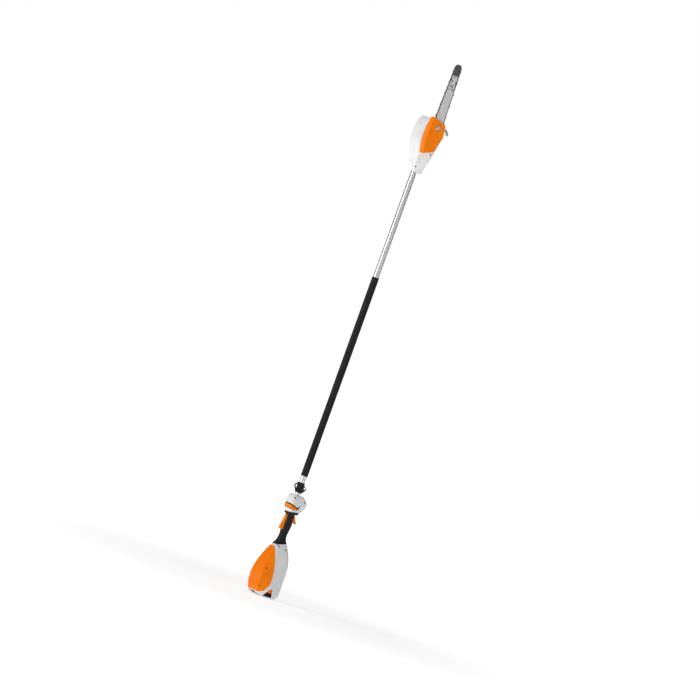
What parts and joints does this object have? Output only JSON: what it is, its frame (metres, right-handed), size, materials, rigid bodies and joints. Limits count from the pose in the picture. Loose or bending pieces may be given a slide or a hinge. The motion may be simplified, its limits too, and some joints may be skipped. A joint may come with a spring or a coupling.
{
  "type": "pole pruner",
  "caption": "Battery pole pruner: housing with battery and rear handle, one-piece shaft with a long grip sleeve, and a saw head with a short guide bar.",
  "frame": {"origin": "on the shaft's axis, in the plane of the battery housing's open end, about 5 mm from the middle of the box in X and in Y", "axes": "+Z along the shaft from the battery end to the bar tip; +X the side with the guide bar and sprocket cover; -Y the side that faces up in use"},
  "size_m": [0.1225, 0.1419, 2.401],
  "materials": {
    "white_shell": "lightly textured moulded plastic",
    "orange_plastic": "satin moulded plastic",
    "black_plastic": "fine-grained moulded plastic",
    "black_rubber": "soft matt rubber",
    "tank_plastic": "milky moulded plastic",
    "polished_aluminium": "drawn and anodised",
    "cast_aluminium": "as cast",
    "bright_steel": "ground and lightly scuffed",
    "black_steel": "blackened screws",
    "chain_steel": "oiled hardened steel",
    "hook_metal": "grey coated casting",
    "copper": "enamelled copper",
    "cell_wrap": "shrink wrap",
    "board_green": "lacquered board"
  },
  "bodies": {
    "root": {"bar_stud": "bright_steel", "battery_bay": "black_plastic", "battery_cover": "orange_plastic", "battery_housing_left": "white_shell", "battery_housing_right": "white_shell", "bearings": "bright_steel", "branch_hook": "hook_metal", "case_screws": "black_steel", "chain_catcher": "bright_steel", "control_board": "board_green", "control_head_left": "white_shell", "control_head_right": "white_shell", "frame_bolts": "bright_steel", "gear_carrier": "cast_aluminium", "gear_case": "cast_aluminium", "grip_sleeve": "black_rubber", "handle_left": "black_plastic", "handle_right": "black_plastic", "head_housing_left": "white_shell", "head_housing_right": "white_shell", "lever_pins": "bright_steel", "lever_springs": "bright_steel", "motor_end_cap": "black_plastic", "motor_stator": "bright_steel", "motor_windings": "copper", "oil_hose": "black_rubber", "oil_pump": "black_plastic", "oil_tank": "tank_plastic", "rubber_skid": "black_rubber", "shaft_cable": "black_rubber", "shaft_tube": "polished_aluminium", "slide_track": "black_plastic", "speed_switch": "black_plastic", "sprocket_cover": "orange_plastic", "strap_ring": "black_plastic", "terminal_blades": "copper"},
    "battery": {"battery_case": "black_plastic", "battery_cells": "cell_wrap", "battery_contacts": "copper"},
    "latch_right": {"battery_latch_right": "orange_plastic"},
    "latch_left": {"battery_latch_left": "orange_plastic"},
    "trigger": {"trigger": "orange_plastic"},
    "lock_lever": {"lock_lever": "orange_plastic"},
    "switch_plunger": {"switch_plunger": "black_plastic"},
    "retaining_latch": {"retaining_latch": "orange_plastic"},
    "rotor": {"motor_rotor": "bright_steel", "pinion_shaft": "bright_steel"},
    "output": {"spur_gear": "bright_steel", "output_shaft": "bright_steel", "drive_sprocket": "bright_steel", "sprocket_clip": "bright_steel"},
    "bar": {"guide_bar": "bright_steel", "chain_cutters": "chain_steel", "chain_drive_links": "chain_steel", "chain_tie_straps": "chain_steel", "tensioner_slider": "bright_steel"},
    "nose_sprocket": {"nose_sprocket": "bright_steel"},
    "tensioner_screw": {"tensioner_screw": "bright_steel"},
    "bar_nut": {"bar_nut": "bright_steel"},
    "oil_cap": {"oil_cap": "orange_plastic"}
  },
  "joints": [
    {"name": "battery_slide", "type": "slide", "parent": "root", "child": "battery", "axis": [0, 0, -1], "range_m": [0, 0.15]},
    {"name": "latch_right_pivot", "type": "hinge", "parent": "root", "child": "latch_right", "pos_m": [0.046, 0.002, 0.066], "axis": [0, 1, 0], "range_deg": [0, 7], "stiffness_Nm_per_rad": 0.3},
    {"name": "latch_left_pivot", "type": "hinge", "parent": "root", "child": "latch_left", "pos_m": [-0.046, 0.002, 0.066], "axis": [0, -1, 0], "range_deg": [0, 7], "stiffness_Nm_per_rad": 0.3},
    {"name": "trigger_pivot", "type": "hinge", "parent": "root", "child": "trigger", "pos_m": [0, 0.0115, 0.359], "axis": [-1, 0, 0], "range_deg": [0, 13], "stiffness_Nm_per_rad": 0.3},
    {"name": "lock_lever_pivot", "type": "hinge", "parent": "root", "child": "lock_lever", "pos_m": [0, -0.0115, 0.357], "axis": [1, 0, 0], "range_deg": [0, 7], "stiffness_Nm_per_rad": 0.3},
    {"name": "switch_plunger_slide", "type": "slide", "parent": "root", "child": "switch_plunger", "axis": [0, 0, -1], "range_m": [0, 0.0034]},
    {"name": "retaining_latch_slide", "type": "slide", "parent": "root", "child": "retaining_latch", "axis": [0, 0, 1], "range_m": [0, 0.0045]},
    {"name": "rotor_spin", "type": "hinge", "parent": "root", "child": "rotor", "pos_m": [0, -0.02, 2.0354], "axis": [1, 0, 0], "continuous": true},
    {"name": "output_spin", "type": "hinge", "parent": "root", "child": "output", "pos_m": [0, 0, 2.055], "axis": [1, 0, 0], "continuous": true},
    {"name": "bar_tension_slide", "type": "slide", "parent": "root", "child": "bar", "axis": [0, 0, 1], "range_m": [-0.006, 0]},
    {"name": "nose_spin", "type": "hinge", "parent": "bar", "child": "nose_sprocket", "pos_m": [0.049, 0, 2.382], "axis": [1, 0, 0], "continuous": true},
    {"name": "tensioner_turn", "type": "hinge", "parent": "root", "child": "tensioner_screw", "pos_m": [0.041, -0.012, 2.119], "axis": [0, 0, 1], "range_deg": [-2160, 0]},
    {"name": "bar_nut_turn", "type": "hinge", "parent": "root", "child": "bar_nut", "pos_m": [0.06, 0, 2.119], "axis": [1, 0, 0], "continuous": true},
    {"name": "oil_cap_turn", "type": "hinge", "parent": "root", "child": "oil_cap", "pos_m": [-0.038, 0.002, 2.112], "axis": [1, 0, 0], "range_deg": [0, 110]}
  ],
  "couplings": [
    {"joint": "switch_plunger_slide", "follows": "trigger_pivot", "m_per_rad": 0.014104},
    {"joint": "output_spin", "follows": "rotor_spin", "ratio": -0.33333},
    {"joint": "nose_spin", "follows": "rotor_spin", "ratio": -0.2963},
    {"joint": "tensioner_turn", "follows": "bar_tension_slide", "rad_per_m": 6283.2}
  ]
}
